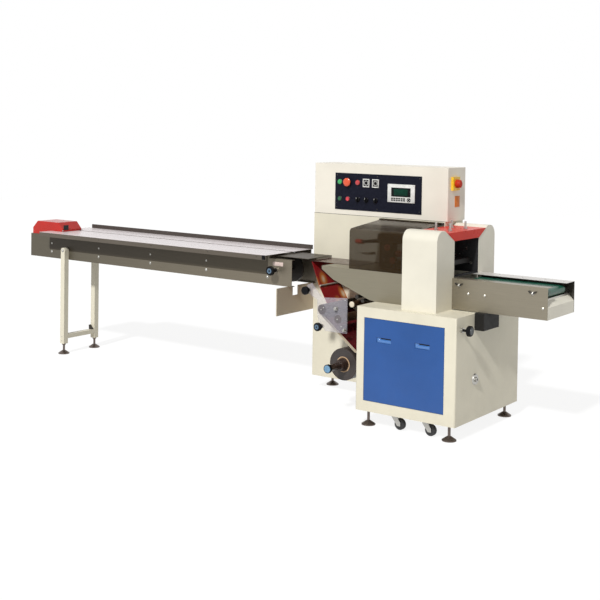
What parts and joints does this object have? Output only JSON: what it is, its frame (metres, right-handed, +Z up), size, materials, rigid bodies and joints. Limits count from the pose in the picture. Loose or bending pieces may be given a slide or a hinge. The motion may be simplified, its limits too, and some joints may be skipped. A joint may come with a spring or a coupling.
{
  "type": "horizontal flow wrapper",
  "caption": "Horizontal flow wrapping machine, film fed from below: long infeed table, film reel and rollers, forming table under a smoked cover, end seal and short belt.",
  "frame": {"origin": "on the floor, at the middle of the machine's overall box", "axes": "+X the way the product flows, +Z up, the operator stands on the -Y side"},
  "size_m": [4.138, 0.77, 1.45],
  "materials": {
    "cream_paint": "powder coat, fine orange peel",
    "blue_paint": "powder coat",
    "navy_plate": "satin printed plate",
    "control_plastic": "moulded caps in several colours",
    "instrument_plastic": "moulded bezels",
    "yellow_plastic": "moulded",
    "red_plastic": "moulded",
    "dark_steel": "oiled dark steel",
    "red_paint": "gloss powder coat",
    "zinc": "zinc plated",
    "stainless": "brushed sheet",
    "smoked_acrylic": "smoked clear sheet",
    "dark_plastic": "moulded",
    "chain_steel": "oiled steel",
    "printed_film": "thin gloss film",
    "roller_rubber": "brown roller coating",
    "clear_acrylic": "clear sheet",
    "dark_shaft": "dark anodised",
    "film_roll_end": "wound film edge",
    "blue_cap": "moulded",
    "knob_black": "moulded, blue-grey cap",
    "green_belt": "smooth belt",
    "drive_paint": "dark paint",
    "caster_rubber": "moulded tread"
  },
  "bodies": {
    "machine": {"lower_cabinet": "cream_paint", "blue_panel": "blue_paint", "rear_body": "cream_paint", "control_box": "cream_paint", "control_panel": "navy_plate", "panel_controls": "control_plastic", "panel_instruments": "instrument_plastic", "switch_base": "yellow_plastic", "pier_front": "cream_paint", "pier_rear": "cream_paint", "red_hood": "red_paint", "hood_studs": "zinc", "table_housing": "stainless", "cover_hinge": "zinc", "infeed_frame_front": "stainless", "infeed_frame_rear": "stainless", "infeed_top": "stainless", "crossbars": "stainless", "rear_guide_rail": "dark_plastic", "infeed_chain": "chain_steel", "infeed_sprockets": "chain_steel", "tail_cover": "red_paint", "infeed_stand": "cream_paint", "levelling_feet": "zinc", "caster_plates": "zinc", "infeed_bracket": "stainless", "film_former": "stainless", "film_web": "printed_film", "film_rollers": "roller_rubber", "roller_plate": "clear_acrylic", "bearing_bosses": "zinc", "crank_socket": "zinc", "discharge_side_front": "stainless", "discharge_side_rear": "stainless", "discharge_belt": "green_belt", "discharge_rollers": "zinc", "discharge_nose": "cream_paint", "drive_box": "drive_paint"},
    "cover": {"acrylic_cover": "smoked_acrylic"},
    "switch": {"switch_knob": "red_plastic"},
    "lower_jaw_rotor": {"lower_jaw": "dark_steel"},
    "upper_jaw_rotor": {"upper_jaw": "dark_steel"},
    "reel": {"reel_shaft": "dark_shaft", "film_roll": "film_roll_end", "reel_cap": "blue_cap"},
    "infeed_wheel": {"infeed_knob": "knob_black"},
    "upper_clamp": {"upper_knob": "knob_black"},
    "lower_clamp": {"lower_knob": "knob_black"},
    "handwheel": {"side_handwheel": "knob_black"},
    "fork_1": {"caster_fork_1": "zinc"},
    "wheel_1": {"caster_wheel_1": "caster_rubber"},
    "fork_2": {"caster_fork_2": "zinc"},
    "wheel_2": {"caster_wheel_2": "caster_rubber"},
    "fork_3": {"caster_fork_3": "zinc"},
    "wheel_3": {"caster_wheel_3": "caster_rubber"},
    "fork_4": {"caster_fork_4": "zinc"},
    "wheel_4": {"caster_wheel_4": "caster_rubber"}
  },
  "joints": [
    {"name": "cover_lift", "type": "hinge", "parent": "machine", "child": "cover", "pos_m": [1.261, 0.153, 1.119], "axis": [-1, 0, 0], "range_deg": [0, 70]},
    {"name": "main_switch_turn", "type": "hinge", "parent": "machine", "child": "switch", "pos_m": [1.293, 0.245, 1.356], "axis": [1, 0, 0], "range_deg": [0, 90]},
    {"name": "lower_jaw_turn", "type": "hinge", "parent": "machine", "child": "lower_jaw_rotor", "pos_m": [1.39, -0.121, 0.793], "axis": [0, 1, 0], "continuous": true},
    {"name": "upper_jaw_turn", "type": "hinge", "parent": "machine", "child": "upper_jaw_rotor", "pos_m": [1.39, -0.121, 0.923], "axis": [0, 1, 0], "continuous": true},
    {"name": "reel_turn", "type": "hinge", "parent": "machine", "child": "reel", "pos_m": [0.815, -0.198, 0.281], "axis": [0, 1, 0], "continuous": true},
    {"name": "infeed_knob_turn", "type": "hinge", "parent": "machine", "child": "infeed_wheel", "pos_m": [0.239, -0.18, 0.78], "axis": [0, 1, 0], "continuous": true},
    {"name": "upper_knob_turn", "type": "hinge", "parent": "machine", "child": "upper_clamp", "pos_m": [0.554, -0.235, 0.696], "axis": [0, 1, 0], "continuous": true},
    {"name": "lower_knob_turn", "type": "hinge", "parent": "machine", "child": "lower_clamp", "pos_m": [0.649, -0.235, 0.488], "axis": [0, 1, 0], "continuous": true},
    {"name": "handwheel_turn", "type": "hinge", "parent": "machine", "child": "handwheel", "pos_m": [1.691, -0.329, 0.606], "axis": [1, 0, 0], "continuous": true},
    {"name": "caster_swivel_1", "type": "hinge", "parent": "machine", "child": "fork_1", "pos_m": [1.456, -0.325, 0.075], "axis": [0, 0, 1], "continuous": true},
    {"name": "caster_roll_1", "type": "hinge", "parent": "fork_1", "child": "wheel_1", "pos_m": [1.484, -0.325, 0.035], "axis": [0, 1, 0], "continuous": true},
    {"name": "caster_swivel_2", "type": "hinge", "parent": "machine", "child": "fork_2", "pos_m": [1.261, -0.325, 0.075], "axis": [0, 0, 1], "continuous": true},
    {"name": "caster_roll_2", "type": "hinge", "parent": "fork_2", "child": "wheel_2", "pos_m": [1.289, -0.325, 0.035], "axis": [0, 1, 0], "continuous": true},
    {"name": "caster_swivel_3", "type": "hinge", "parent": "machine", "child": "fork_3", "pos_m": [1.456, 0.325, 0.075], "axis": [0, 0, 1], "continuous": true},
    {"name": "caster_roll_3", "type": "hinge", "parent": "fork_3", "child": "wheel_3", "pos_m": [1.484, 0.325, 0.035], "axis": [0, 1, 0], "continuous": true},
    {"name": "caster_swivel_4", "type": "hinge", "parent": "machine", "child": "fork_4", "pos_m": [1.261, 0.325, 0.075], "axis": [0, 0, 1], "continuous": true},
    {"name": "caster_roll_4", "type": "hinge", "parent": "fork_4", "child": "wheel_4", "pos_m": [1.289, 0.325, 0.035], "axis": [0, 1, 0], "continuous": true}
  ],
  "couplings": [
    {"joint": "upper_jaw_turn", "follows": "lower_jaw_turn", "ratio": -1}
  ]
}
